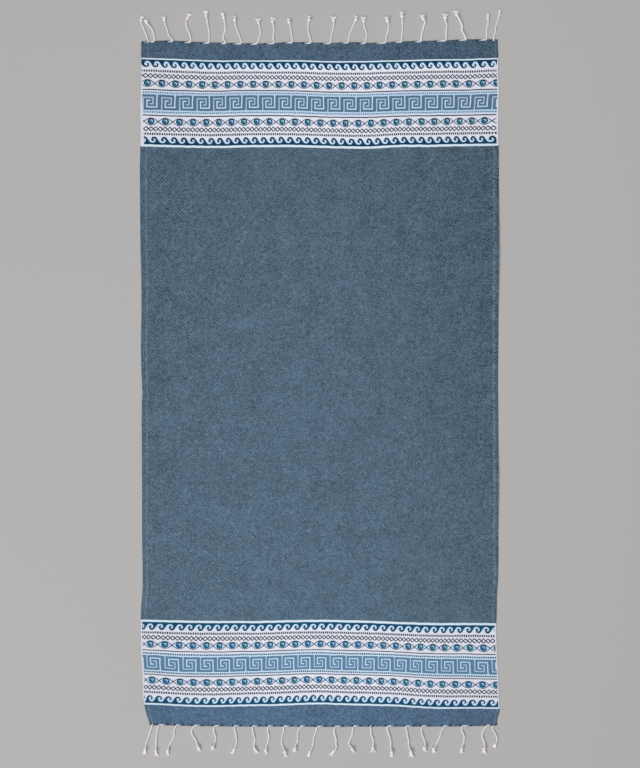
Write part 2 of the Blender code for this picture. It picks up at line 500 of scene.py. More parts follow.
def read_curve(level, points, low, high):
    """The value at this level on a drawn curve whose values all lie between low and high."""
    first, last = points[0][0], points[-1][0]
    share = (level - first) * (1 / (last - first))
    made = node(level.tree, "ShaderNodeFloatCurve", (1.0, share))
    curve = made.mapping.curves[0]
    scaled = [((x - first) / (last - first), (y - low) / (high - low)) for x, y in points]
    curve.points[0].location = scaled[0]
    curve.points[1].location = scaled[-1]
    for place in scaled[1:-1]:
        curve.points.new(*place)
    made.mapping.update()
    return Level(level.tree, made.outputs[0]).math("MULTIPLY_ADD", high - low, low)


# The weave: the warp runs along the cloth and the weft across it.  Small diamonds of pale warp
# show on a ground of blue weft, over and over every eight yarns.  The yarns wander a little, and
# more of the warp shows in some patches than in others.  All sizes are in millimetres.
YARN = 1.0  # from one yarn to the next
DIAMOND = 4.0  # yarns from the middle of one diamond to the edge of its repeat
YARN_WANDER = 6.0
YARN_DIP = 0.45  # how far a yarn goes down at the ends of each float
WARP_NUMBERS = 4000.0  # from here on, so that no warp yarn has a weft yarn's number
WARP_PALE = dye(105, 128, 146)
WEFT_BLUE = dye(75, 99, 118)
WARP_PART = 0.45  # how much of the face is warp
END_BLUE = dye(72, 106, 150)  # the strips past the two bands are a little bluer
HEAD_END_BLUE, FOOT_END_BLUE = 0.14, 0.32

# One warp cord near each selvedge is thicker and paler.
CORD_LEFT, CORD_RIGHT, CORD_HALF = -435.5, 441.5, 1.9
SELVEDGE_CORD = dye(112, 131, 150)
CORD_SHOWS = 0.85

# How much each noise, and the relief, changes the weave: the strength and the start of vary
DIAMOND_GROWTH = (4.0, -0.5)
WARP_SHOWS = (4.0, -1.1)
YARN_TONE = (0.10, -0.17)
# The relief darkens the hollows of the weave: painted shade
HOLLOW_SHADE = (0.30, 0.78)
CLOUD_TONE, FLECK_TONE = 0.40, 1.80

# Painted shade: how much darker the cloth is painted to the right, towards the head and towards
# both sides, where the light falls off
PAINTED_SHADE_RIGHT, PAINTED_SHADE_HEAD, PAINTED_SHADE_SIDES = 9e-5, 1.4e-4, 6e-7


def weave(tree, s, t):
    """The cloth's colour, with painted shade in the hollows of its weave and towards the right,
    the head and both sides, and how high its yarns stand, from about 0 to 1.
    """
    aside, ahead = patchy_pair(tree, s, t, "yarns wander")
    across = (s + aside * YARN_WANDER) * (1 / YARN)
    along = (t + ahead * YARN_WANDER) * (1 / YARN)
    column, row = across.math("FLOOR"), along.math("FLOOR")
    slope = (column + 0.5).math("PINGPONG", DIAMOND) + (row + 0.5).math("PINGPONG", DIAMOND)
    grown = patchy(tree, s, t, "diamonds grow").vary(*DIAMOND_GROWTH)
    warp_up = (slope - DIAMOND).math("ABSOLUTE") > grown
    beside, ahead = across - column - 0.5, along - row - 0.5
    over_yarn = (warp_up.choose(ahead, beside) * math.pi).math("COSINE")
    down_yarn = (warp_up.choose(beside, ahead) * math.pi).math("COSINE")
    relief = over_yarn * down_yarn.vary(YARN_DIP, 1 - YARN_DIP)

    yarn = warp_up.choose(row, column + WARP_NUMBERS)
    uneven = node(tree, "ShaderNodeTexWhiteNoise", {"W": yarn}, noise_dimensions="1D")
    tone_and_shade = Level(tree, uneven.outputs["Value"]).vary(*YARN_TONE)
    tone_and_shade = tone_and_shade + patchy(tree, s, t, "clouds") * CLOUD_TONE
    tone_and_shade = tone_and_shade + patchy(tree, s, t, "flecks") * FLECK_TONE
    # Painted shade where the light falls off to the right, towards the head and to both sides
    tone_and_shade = tone_and_shade - s * PAINTED_SHADE_RIGHT - t * PAINTED_SHADE_HEAD - s * s * PAINTED_SHADE_SIDES
    # Painted shade in the hollows of the weave
    tone_and_shade = relief.vary(*HOLLOW_SHADE) * tone_and_shade

    showing = patchy(tree, s, t, "warp shows").vary(*WARP_SHOWS)
    showing = (warp_up - WARP_PART) * showing + WARP_PART
    cord = (s - (CORD_LEFT + CORD_RIGHT) / 2).math("ABSOLUTE")
    cord = cord.near((CORD_RIGHT - CORD_LEFT) / 2, CORD_HALF)
    colour = laid_over(
        tree,
        WEFT_BLUE,
        (WARP_PALE, showing),
        (END_BLUE, (t < BAND_FLAT[5]) * FOOT_END_BLUE),
        (END_BLUE, (t > BAND_FLAT[0]) * HEAD_END_BLUE),
        (SELVEDGE_CORD, cord * CORD_SHOWS),
    )
    return shaded(tree, colour, tone_and_shade), relief


# The print.  Each band is drawn from its own middle line outwards, towards the nearest end, so
# the two are mirror images.  Their rows were set one by one: each starts at its own place and
# its repeat differs a little.  All sizes are in millimetres.  Two values of one colour or one
# size are the head band's and the foot band's.
BAND_MIDDLES = (BAND_FLAT[1], BAND_FLAT[4])
BAND_OFF = (-1.1, -0.6)  # where the middle of the inked strip lies in the band
BAND_HALF = (111.0, 111.5)
INK_CREEP = 2.6  # how far the edges of the ink wander where it crept into the yarns

# The strips that run through each band: where the middle lies in it, and half the height
WAVE_STRIP = (-0.3, 105.0)
WHITE_STRIP = (-0.3, 92.0)
PALE_STRIP = (-0.7, 28.0)
KEY_STRIP = (-0.4, 19.3)
NAVY_OUT, NAVY_HALF = 95.3, 11.3
DARK_LINES, DARK_LINE_HALF = (31.0, -33.2), (1.45, 1.2)

# The ornaments stop short of the selvedges, and the head band's left end leans: its place is
# the distance out, varied.
INK_LEFT, INK_RIGHT = -445.0, 446.0
INK_LEAN = (-0.035, -445.15)

WHITE = dye(234, 237, 249)
EDGE_WHITE = dye(227, 243, 255)
WAVE_WHITE = dye(207, 229, 253)
PALE_BLUE = (dye(196, 223, 247), dye(217, 239, 255))
KEY_GROUND = (dye(87, 121, 149), dye(94, 136, 169))
KEY_LINE = dye(212, 230, 248)
KEY_LINE_DIM = dye(184, 206, 230)
NAVY = (dye(0, 58, 90), dye(0, 76, 112))
NAVY_GREEN = dye(0, 84, 98)
NAVY_BRIGHT = dye(0, 66, 122)
TO_GREEN, TO_BRIGHT = (4.0, -2.0), (4.0, -2.3)  # how the noise varies the navy
BLACK_DOT = dye(14, 0, 14)
BLUE_DOT = (dye(24, 80, 124), dye(6, 66, 114))
DARK_LINE = dye(62, 50, 64)
EYE_WHITE = (dye(218, 232, 250), dye(208, 232, 255))
EYE_LID = dye(58, 52, 72)
EYE_RIM = (dye(14, 67, 98), dye(0, 76, 116))
EYE_GREEN = (dye(0, 116, 114), dye(0, 124, 134))
EYE_BLUE = (dye(0, 92, 152), dye(0, 106, 172))
EYE_GLEAM = dye(190, 224, 250)
EYE_PUPIL = dye(0, 58, 104)
DIAMOND_LINE = dye(36, 30, 46)

# Of each kind of motif, for the head band's outer and inner row and then the foot band's: the
# middle of the row in the band, where one motif's middle lies across, and the repeat.
WAVES = ((94.0, -1.5, 21.770), (-95.0, 8.5, 22.549), (94.0, 3.0, 21.433), (-95.0, 3.5, 22.335))
DOTS = ((78.2, 2.0, 5.419), (-79.6, -2.5, 5.448), (78.2, 1.5, 5.421), (-79.6, 0.0, 5.407))
DIAMONDS = (
    (65.6, 3.5, 10.795), (-67.2, -3.5, 10.840), (65.6, -1.5, 10.640), (-67.2, -4.0, 10.839)
)
EYES = (
    (47.0, -12.0, 32.555), (-48.8, -2.0, 32.589), (47.0, -5.5, 32.005), (-48.8, -2.5, 32.323)
)
SMALL_DOTS = (
    (24.0, 2.5, 5.435), (-25.0, 0.0, 5.484), (24.0, 2.5, 5.341), (-25.0, -1.5, 5.375)
)
KEYS = ((-0.4, 17.5, 41.892), (-0.4, 17.5, 41.892), (-0.4, -18.5, 41.320), (-0.4, -18.5, 41.320))

# The dots, by half their width and height, and the diamonds, whose strokes are thinner on two
# sides than on the other two
DOT_REPEAT = 5.4
SMALL_DOT_WIDE, SMALL_DOT_HIGH = (1.35, 1.8), (1.7, 2.1)
BLACK_DOT_WIDE, BLACK_DOT_HIGH = 1.7, 2.7
DIAMOND_REPEAT, DIAMOND_HIGH = 10.8, 6.2
DIAMOND_THIN, DIAMOND_BOLD = 1.45, 1.8

# The eyes: the lids are two arches that cross between the eyes, drawn finer at the top, and the
# gleam is a ring round the pupil that is lit from one side.
EYE_REPEAT = 32.3
LID_ARCH, LID_HIGH = 8.9, 10.2
LID_STROKE = (-0.6, 1.5)  # half its width: the arch, varied
EYE_SUNK = (-0.6, 0.6)  # how far the round of the eye lies from the middle of its lids
RIM_RADIUS, IRIS_RADIUS, PUPIL_RADIUS = 8.0, 5.3, 1.7
GLEAM_RING = (2.9, 1.4)  # its radius, and half its width
GLEAM_LIT = (0.15, 0.45)
EYE_DRAWS = 31.0  # how far apart the rows draw the random colours of their eyes

# The running wave, from the middle of its curl: its crest along one repeat, and how far out
# its hook's two edges are at each angle, clockwise from straight up.
WAVE_REPEAT = 21.7
WAVE_CREST = [
    (-5.3, 0.0), (-5.0, 2.2), (-4.3, 4.4), (-3.2, 6.4), (-1.6, 7.9), (0.7, 8.6), (3.4, 8.3),
    (5.6, 7.2), (7.6, 5.0), (9.8, 1.4), (12.0, -2.6), (14.0, -5.0), (15.4, -6.1), (16.4, -6.6),
]
HOOK_OUTER = [
    (0, 3.3), (30, 3.9), (60, 4.5), (90, 4.9), (135, 5.6), (180, 6.9), (200, 7.4), (216, 8.3),
    (245, 8.3), (300, 8.3),
]
HOOK_INNER = [
    (0, 0.0), (60, 0.9), (90, 1.4), (135, 2.1), (180, 2.9), (215, 3.6), (240, 4.2), (265, 5.0),
    (300, 5.5),
]
HOOK_LEFT = -8.5  # where one curl's hook gives way to the next one's
HOOK_TURNS = (130.0, 138.0)  # the middle of the hook's turn, and half of it

# The meander: two lines, each of four straight bars from a corner to a corner.  The second is
# the first turned half round.
KEY_REPEAT = 41.8
KEY_START = -3.0
KEY_BARS = [(0, -20, 0, 12), (0, 12, 22, 12), (22, -4.2, 22, 12), (15.8, -4.2, 22, -4.2)]
KEY_TURNED = (30.5, 0.2)
KEY_HALF = 1.45


def running_wave(x, y):
    """1 on the side of the running wave that lies above its crest and in its hooks."""
    start = WAVE_CREST[0][0]
    above = y > read_curve(x.wrap(start, WAVE_REPEAT + start), WAVE_CREST, -10.0, 10.0)
    near = x.wrap(HOOK_LEFT, WAVE_REPEAT + HOOK_LEFT)
    turn = near.math("ARCTAN2", y) * math.degrees(1.0)
    turn = turn.wrap(-30.0, 330.0)
    away = (near * near + y * y).math("SQRT")
    hook = (away < read_curve(turn, HOOK_OUTER, 0.0, 10.0)) * turn.near(*HOOK_TURNS)
    hook = hook * (away > read_curve(turn, HOOK_INNER, 0.0, 10.0))
    return above.math("MAXIMUM", hook)


def key_line(x, y):
    """1 on the four bars of one line of the meander."""
    line = None
    for x0, y0, x1, y1 in KEY_BARS:
        bar = x.near((x0 + x1) / 2, (x1 - x0) / 2 + KEY_HALF)
        bar = bar * y.near((y0 + y1) / 2, (y1 - y0) / 2 + KEY_HALF)
        line = line.math("MAXIMUM", bar) if line else bar
    return line


def border_print(tree, s, t):
    """The colour of the ink, and 1 where there is any."""
    aside, ahead = patchy_pair(tree, s, t, "ink creeps")
    s = s + (aside - 0.5) * INK_CREEP
    t = t + (ahead - 0.5) * INK_CREEP
    at_head = t > 0.0
    half_way = sum(BAND_MIDDLES) / 2
    out = (t - half_way).math("ABSOLUTE") - (BAND_MIDDLES[0] - half_way)
    outer = out > 0.0

    def size_of(pair):
        """The head band's or the foot band's number of a pair."""
        return at_head.choose(pair[1], pair[0])

    def colour_of(pair):
        return laid_over(tree, pair[1], (pair[0], at_head))

    def row(motif, repeat):
        """Across and up from the middle of this row's nearest motif, at its even size."""
        rows = list(zip(*motif))
        level, start, pitch = (
            at_head.choose(outer.choose(v[3], v[2]), outer.choose(v[1], v[0])) for v in rows
        )
        return (s - start).math("DIVIDE", pitch) * repeat, out - level

    def dots(motif, half_wide, half_high):
        x, y = row(motif, DOT_REPEAT)
        x = x.wrap(-DOT_REPEAT / 2, DOT_REPEAT / 2)
        return x.near(0.0, half_wide) * y.near(0.0, half_high)

    printed = out.near(size_of(BAND_OFF), size_of(BAND_HALF))
    key_ground = out.near(*KEY_STRIP)
    x, y = row(KEYS, KEY_REPEAT)
    x = x.wrap(KEY_START, KEY_REPEAT + KEY_START)
    turned = key_line(KEY_TURNED[0] - x, KEY_TURNED[1] - y)
    layers = [
        (WAVE_WHITE, out.near(*WAVE_STRIP)),
        (WHITE, out.near(*WHITE_STRIP)),
        (colour_of(PALE_BLUE), out.near(*PALE_STRIP)),
        (colour_of(KEY_GROUND), key_ground),
        (KEY_LINE_DIM, key_line(x, y) * key_ground),
        (KEY_LINE, turned * key_ground),
    ]

    small_dots = dots(SMALL_DOTS, size_of(SMALL_DOT_WIDE), size_of(SMALL_DOT_HIGH))
    lines = [out.near(line, size_of(DARK_LINE_HALF)) for line in DARK_LINES]
    layers += [
        (colour_of(BLUE_DOT), small_dots),
        (DARK_LINE, lines[0].math("MAXIMUM", lines[1])),
    ]

    x, y = row(EYES, EYE_REPEAT)
    up = size_of((1.0, -1.0))
    arch = (x * (math.pi / EYE_REPEAT)).math("COSINE").math("ABSOLUTE")
    between_lids = y.math("ABSOLUTE") < arch * LID_ARCH
    lid = y.math("ABSOLUTE").near(arch * LID_ARCH, arch.vary(*LID_STROKE))
    lid = lid * y.near(0.0, LID_HIGH)
    eye = (x * (1 / EYE_REPEAT) + 0.5).math("FLOOR") + out.math("SIGN") * EYE_DRAWS
    eye = node(tree, "ShaderNodeTexWhiteNoise", {"W": eye}, noise_dimensions="1D")
    iris = laid_over(tree, colour_of(EYE_GREEN), (colour_of(EYE_BLUE), eye.outputs["Value"]))
    x = x.wrap(-EYE_REPEAT / 2, EYE_REPEAT / 2)
    y = y + size_of(EYE_SUNK)
    away = (x * x + y * y).math("SQRT")
    lit = (x + y * up).vary(*GLEAM_LIT)
    layers += [
        (colour_of(EYE_WHITE), between_lids),
        (EYE_LID, lid),
        (colour_of(EYE_RIM), away < RIM_RADIUS),
        (iris, away < IRIS_RADIUS),
        (EYE_GLEAM, away.near(*GLEAM_RING) * lit),
        (EYE_PUPIL, away < PUPIL_RADIUS),
    ]

    x, y = row(DIAMONDS, DIAMOND_REPEAT)
    middle = DIAMOND_REPEAT / 2
    slope = (x + middle).math("PINGPONG", middle)
    bold = (x.wrap(-middle, middle) * y * up) > 0.0
    slope = y.math("ABSOLUTE").near(slope, bold.choose(DIAMOND_THIN, DIAMOND_BOLD))
    layers += [
        (DIAMOND_LINE, slope * y.near(0.0, DIAMOND_HIGH)),
        (BLACK_DOT, dots(DOTS, BLACK_DOT_WIDE, BLACK_DOT_HIGH)),
    ]

    wave = running_wave(*row(WAVES, WAVE_REPEAT))
    inner_waves = (1.0 - wave) * out.near(-NAVY_OUT, NAVY_HALF)
    green, bright = patchy_pair(tree, s, t, "navy changes")
    navy = laid_over(
        tree,
        colour_of(NAVY),
        (NAVY_GREEN, green.vary(*TO_GREEN)),
        (NAVY_BRIGHT, bright.vary(*TO_BRIGHT)),
    )
    layers.append((navy, outer.choose(inner_waves, wave * out.near(NAVY_OUT, NAVY_HALF))))

    ink = laid_over(tree, EDGE_WHITE, *layers)
    left = size_of((out.vary(*INK_LEAN), INK_LEFT))
    return laid_over(tree, WHITE, (ink, (s > left) * (s < INK_RIGHT))), printed


# Painted shade and light on the ink: it is painted darker in the hollows of the weave, and a
# little paler towards the head and near its middle than at both sides, where the light falls
# off.
INK_HOLLOW_SHADE = (0.16, 0.90)
INK_PAINTED_LIGHT_HEAD = 2e-5
INK_MIDDLE, INK_PAINTED_SHADE_SIDES = 30.0, 4.5e-7
BARE_ROUGHNESS, INK_SMOOTHS = 0.90, -0.10


def new_finish(name):
    """A new material, its tree and its shader."""
    material = bpy.data.materials.new(name)
    material.use_nodes = True
    return material, material.node_tree, material.node_tree.nodes["Principled BSDF"]


def finish_cloth(name, inked):
    """The woven cotton, with the print as strong as inked says."""
    material, tree, shader = new_finish(name)
    place = node(tree, "ShaderNodeUVMap", uv_map="print")
    place = node(tree, "ShaderNodeSeparateXYZ", (place.outputs[0],))
    s, t = (Level(tree, place.outputs[k]) * (1 / MM) for k in (0, 1))
    woven_and_shade, relief = weave(tree, s, t)
    ink, printed = border_print(tree, s, t)
    from_middle = s - INK_MIDDLE
    # Painted shade in the weave's hollows, and painted light and shade along and across the ink
    ink_light_and_shade = relief.vary(*INK_HOLLOW_SHADE) + t * INK_PAINTED_LIGHT_HEAD
    ink_light_and_shade = ink_light_and_shade - from_middle * from_middle * INK_PAINTED_SHADE_SIDES
    covered = printed * inked
    bump = node(tree, "ShaderNodeBump", {
        "Strength": 0.6, "Distance": 0.25 * MM, "Height": relief})
    fill(tree, shader, {
        "Base Color": laid_over(tree, woven_and_shade, (shaded(tree, ink, ink_light_and_shade), covered)),
        "Roughness": covered.vary(INK_SMOOTHS, BARE_ROUGHNESS),
        "Specular IOR Level": 0.08,
        "Sheen Weight": 0.04,
        "Sheen Roughness": 0.6,
        "Normal": bump.outputs[0],
    })
    return material


cloth.data.materials.append(finish_cloth("printed_cotton", 0.97))
cloth.data.materials.append(finish_cloth("cotton_underside", 0.12))
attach(cloth, "root")
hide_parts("cloth")


# ---------- The two fringes ----------
#
# The cloth's own warp, off-white cotton, comes out of each end, is gathered sideways along it,
# and is twisted in two plies into 21 cords.  Each cord has one overhand knot, and its tip is
# left to fray.  Where the warp was drawn aside, a loop of the blue weft stands up.

# The cords of each fringe from left to right, in millimetres: where the root lies across the
# towel, how far the tip reaches out from the cloth, how thick the cord and its knot are, how
# far to the side its warp was gathered from, how far its tuft spreads to the left and to the
# right, and how far the cord lies to the right of its root at each seventh of its reach.
HEAD_CORDS = [
    # across, reach, thick, knot, drawn, fan_left, fan_right, sway
    (-433, 61, 3.6, 7, 9, 3, 4, (-3.5, -6, -10, -13.5, -17, -17.5, -15)),
    (-417, 52, 3.9, 7, 15, 5, 4, (-1, -2, -4.5, -7.5, -14, -20.5, -20.5)),
    (-371, 59, 3.5, 7, 12, 5, 4, (-8, -12, -14, -17, -19.5, -21.5, -22)),
    (-326, 69, 3.8, 7, 15, 5, 5, (-0.5, -3.5, -8.5, -11, -11, -7, -2.5)),
    (-280, 78, 3.8, 7, 15, 4.5, 4.5, (0.5, 0.5, -1, -3.5, -5, -7.5, -7.5)),
    (-238, 74, 4.0, 7, 12, 3, 3, (-6.5, -4, -1, -2, -3, -5.5, -8.5)),
    (-198, 67, 3.6, 7.5, 20, 2, 2.5, (-3, -6.5, -10, -14, -16, -17.5, -17)),
    (-158, 61, 3.7, 7.5, 18, 7, 7, (3, 6.5, 8, 7, 4.5, 2.5, 3)),
    (-116, 62, 4.0, 8, 18, 6, 7, (-2, -2, -0.5, -0.5, -2.5, -4.5, -1.5)),
    (-70, 58, 3.4, 7.5, 17, 2.5, 2.5, (0, -2, -3, -4, -6, -8.5, -8.5)),
    (-23, 65, 3.8, 8, 16, 2.5, 2, (-2, -5, -7, -7, -7, -5, -4)),
    (26, 65, 3.9, 7.5, 18, 6, 6, (1, 2.5, 5, 7.5, 8.5, 7.5, 9)),
    (71, 65, 3.8, 8, 15, 3.5, 3, (1.5, 3.5, 7, 11, 15, 19, 20)),
    (114, 63, 3.6, 8, 13, 5, 7, (1.5, 3.5, 1.5, -2, -3.5, -4.5, -4)),
    (165, 63, 3.6, 8.5, 23, 5, 3, (1.5, 2.5, 5.5, 7.5, 7, 4, 4)),
    (206, 73, 3.7, 8.5, 16, 5, 3, (-0.5, 1, 1.5, 1.5, 1, 0, 0)),
    (254, 64, 4.8, 9, 14, 5, 5, (1, 3, 5, 7.5, 10, 4.5, 3)),
    (317, 65, 4.5, 9, 23, 8, 5, (0.5, 0.5, 1.5, 1.5, -1.5, -2.5, 0.5)),
    (367, 71, 5.2, 8, 18, 6, 6, (-4, -10, -9.5, -12.5, -17.5, -24, -24.5)),
    (419, 63, 3.6, 6.5, 19, 3, 3, (1, 0.5, 1, 4, 4, 3.5, 4.5)),
    (437, 72, 3.4, 5, 0, 1.5, 1.5, (2.5, 5, 5.5, 9, 12, 15, 15.5)),
]
FOOT_CORDS = [
    (-423, 72, 3.7, 7.7, 0, 4, 4, (-3.5, -6.5, -10.5, -14, -16.5, -17.5, -19.5)),
    (-407, 76, 3.9, 7.2, 18, 4, 5, (-3, -4.5, -5.5, -6, -6.5, -6.5, -4)),
    (-363, 73, 3.7, 7.7, 11, 3.5, 3.5, (-4, -4.5, -8, -13.5, -18.5, -21, -20.5)),
    (-319, 62, 3.7, 7.7, 17, 5, 4, (-4.5, -3.5, 1, 7, 8.5, 13, 14.5)),
    (-267, 59, 3.7, 9.2, 14, 4.5, 4.5, (-1, 1, 4, 3, 0.5, -3, -2)),
    (-217, 67, 3.9, 7.2, 12, 4, 4, (3, 5, 6.5, 6.5, 4.5, 0, -5.5)),
    (-171, 66, 3.9, 7.2, 14, 4, 4, (2, 3.5, 6.5, 6, 4, 7.5, 12.5)),
    (-131, 68, 3.7, 7.2, 11, 4, 4, (-1, 1.5, 2, -0.5, -4, -6.5, -4)),
    (-92, 75, 3.5, 8.2, 15, 4.5, 4.5, (0.5, -3, -4.5, -4, -0.5, 4, 7)),
    (-50, 63, 3.5, 7.7, 12, 5.5, 5.5, (-5, -6.5, -6.5, -7.5, -12, -13.5, -13.5)),
    (-8, 73, 3.8, 7.2, 16, 3, 3, (-2.5, -6.5, -8.5, -10, -13, -18.5, -21)),
    (37, 70, 4.2, 7.7, 15, 4, 4, (-1.5, 0.5, 3.5, 3, 4, -3, -11)),
    (84, 66, 4.0, 7.7, 13, 3.5, 3.5, (-2, -3, -7.5, -10.5, -8.5, -2, 4)),
    (127, 63, 3.8, 8.2, 0, 6.5, 6.5, (1.5, 1.5, 5.5, 7.5, 7, 6, 7)),
    (169, 75, 4.2, 8.2, 16, 3.5, 4, (1.5, 5.5, 8.5, 9.5, 9, 11.5, 11.5)),
    (215, 75, 4.0, 8.7, 16, 11, 3, (4, 5, 8, 8, 10, 14, 11.5)),
    (256, 61, 3.8, 9.7, 13, 5, 4.5, (-0.5, 1, 4.5, 7.5, 8.5, 7, 7)),
    (310, 65, 3.8, 8.7, 13, 4, 3.5, (-3, -6.5, -9.5, -14, -18.5, -24, -23)),
    (357, 66, 3.8, 8.2, 18, 4, 4.5, (0, 5, 6.5, 5, 1.5, -0.5, 0)),
    (419, 67, 4.1, 8.2, 10, 9, 3, (-7.5, -10.5, -10, -6, -4.5, -6.5, -9.5)),
    (436, 54, 3.3, 6.7, 0, 5, 4, (-1.5, 4, 7.5, 10, 9, 5, 1.5)),
]

ROOT_OUT = 1.6  # how far out from the cloth's end a cord's reach is counted from
ROOT_HIGH = 2.6  # how high a cord lies at its root, on the warp that is drawn to it
LAY = 9.0  # one full turn of a cord's two plies

# Places along a cord, as shares of its reach
CORD_FROM, ROOT_TO = -0.02, 0.06
RISE_FROM, RISE_LONG = 0.62, 0.16  # where the cord climbs to its knot
KNOT_FROM, KNOT_TO = 0.795, 0.88
CORD_IN_KNOT, TUFT_IN_KNOT = 0.015, 0.025  # how far the cord and the tuft reach into it
TUFT_TO = 1.01

CORD_HALF_HIGH = 0.56  # of a cord of two plies, as a share of its thickness
CORD_OFF_FLOOR = 0.05
KNOT_HIGH = 0.63  # how high a knot's middle lies, as a share of its thickness
TUFT_HIGH, TUFT_SINKS = 0.52, 0.055  # the same of a tuft's start, and how it sinks at each step

DRAWN_YARNS = 7
YARN_THICK = 1.15
LOOP_THICK, LOOP_HALF = 2.5, 1.4
LOOP_IN = 2.8  # how far in from the cloth's end a loop of weft lies
LOOP_PAST = 5.5  # how far past the warp that was drawn aside
SECOND_LOOP_PAST = 3.5  # the foot's second loops, on the other side of the root

# What each path of a fringe is
CORD, KNOT, TUFT, WARP, WEFT = range(5)


def fringe_paths(name, outward, cords):
    """Every cord, knot, tuft, drawn-in yarn and weft loop of one fringe as a line to follow."""
    points, edges, facts = [], [], []

    def add_path(part, places, thick, fan=(0.0, 0.0)):
        for n, place in enumerate(places):
            if n:
                edges.append((len(points) - 1, len(points)))
            points.append(Vector(place) * MM)
            facts.append((part, thick * MM, fan[0] * MM, fan[1] * MM))

    for across, reach, thick, knot, drawn, fan_left, fan_right, sway in cords:
        end = abs(smooth_read(ENDS, across, 1 if outward > 0 else 2))
        bends = [(0.0, 0.0)] + [((k + 1) / 7, value) for k, value in enumerate(sway)]

        def middle(share, high):
            y = end + ROOT_OUT + reach * share
            return across + smooth_read(bends, share), outward * y, high

        body = []
        low = CORD_HALF_HIGH * thick + CORD_OFF_FLOOR
        for share in even_steps(CORD_FROM, KNOT_FROM + CORD_IN_KNOT, 17):
            lift = max(0.0, min(1.0, (share - RISE_FROM) / RISE_LONG))
            high = low + (KNOT_HIGH * knot - low) * lift * lift * (3 - 2 * lift)
            body.append(middle(share, max(high, ROOT_HIGH) if share < ROOT_TO else high))
        add_path(CORD, body, thick)
        knotted = even_steps(KNOT_FROM, KNOT_TO, 5)
        add_path(KNOT, [middle(share, KNOT_HIGH * knot) for share in knotted], knot)
        add_path(TUFT, [
            middle(share, (TUFT_HIGH - TUFT_SINKS * n) * knot)
            for n, share in enumerate(even_steps(KNOT_TO - TUFT_IN_KNOT, TUFT_TO, 6))
        ], 0.5 * knot, (fan_left, fan_right))

        # Each drawn yarn comes up out of the cloth, slants to the root and goes into the cord.
        aside = -outward
        for n in range(DRAWN_YARNS):
            start = drawn * (n + 0.6) / DRAWN_YARNS if drawn else 0.6 * (n - 3)
            inside = 3.4 - 0.25 * (n % 3)
            high = CLOTH_THICK + 0.5 * YARN_THICK + 0.06 + 0.16 * (n % 3)
            x = across + aside * start
            add_path(WARP, [
                (x + aside * 0.8, outward * (end - inside), high - 0.55),
                (x, outward * (end - inside + 0.7), high),
                (x - aside * 0.35 * start, outward * (end - 1.1), high + 0.1),
                (across + aside * 0.12 * start, outward * (end + 0.9), high + 0.5),
                middle(0.05, 2.5),
                middle(0.10, 2.2),
            ], YARN_THICK)

        loops = [across + aside * (drawn + LOOP_PAST)]
        if outward < 0:
            loops.append(across - aside * SECOND_LOOP_PAST)
        for x in loops:
            bend = []
            for angle in (210, 150, 90, 30, -30):
                c, s = math.cos(math.radians(angle)), math.sin(math.radians(angle))
                y = end - LOOP_IN + LOOP_HALF * s
                bend.append((x + LOOP_HALF * c, outward * y, CLOTH_THICK + 0.9 + 0.3 * s))
            add_path(WEFT, bend, LOOP_THICK)

    mesh = bpy.data.meshes.new(name)
    mesh.from_pydata(points, edges, [])
    for column, (fact, kind) in enumerate(
        (("part", "INT"), ("thick", "FLOAT"), ("fan_left", "FLOAT"), ("fan_right", "FLOAT"))
    ):
        made = mesh.attributes.new(fact, kind, "POINT")
        made.data.foreach_set("value", [row[column] for row in facts])
    return placed(name, mesh)


# Of the two plies of a cord and of the turns of a knot: how far out its middle runs from the
# whole's, and its radius, as shares of the whole's thickness.  A knot's turns swell midway.
PLY_OUT, PLY_RADIUS = 0.265, 0.305
TURN_OUT, TURN_RADIUS = 0.24, 0.13
PLY_STEP = 0.7

# The strands of a tuft: they start spread over a share of its thickness, close up by another
# share of that towards the tip, across and in height, and each waves and ends on its own.
TUFT_SPREAD, CLOSE_ACROSS, CLOSE_IN_HEIGHT = 0.9, 0.6, 0.45
FAN_POWER = 0.8  # below 1, the tuft fans out soonest near the knot
STRAND_WAVES, STRAND_WAVE_WIDE, STRAND_WAVE_CHANCE = 7.0, 0.4, 6.0
TIPS_UNEVEN, TIPS_BACK = 0.35, 0.85
STRAND_THINS = 0.5


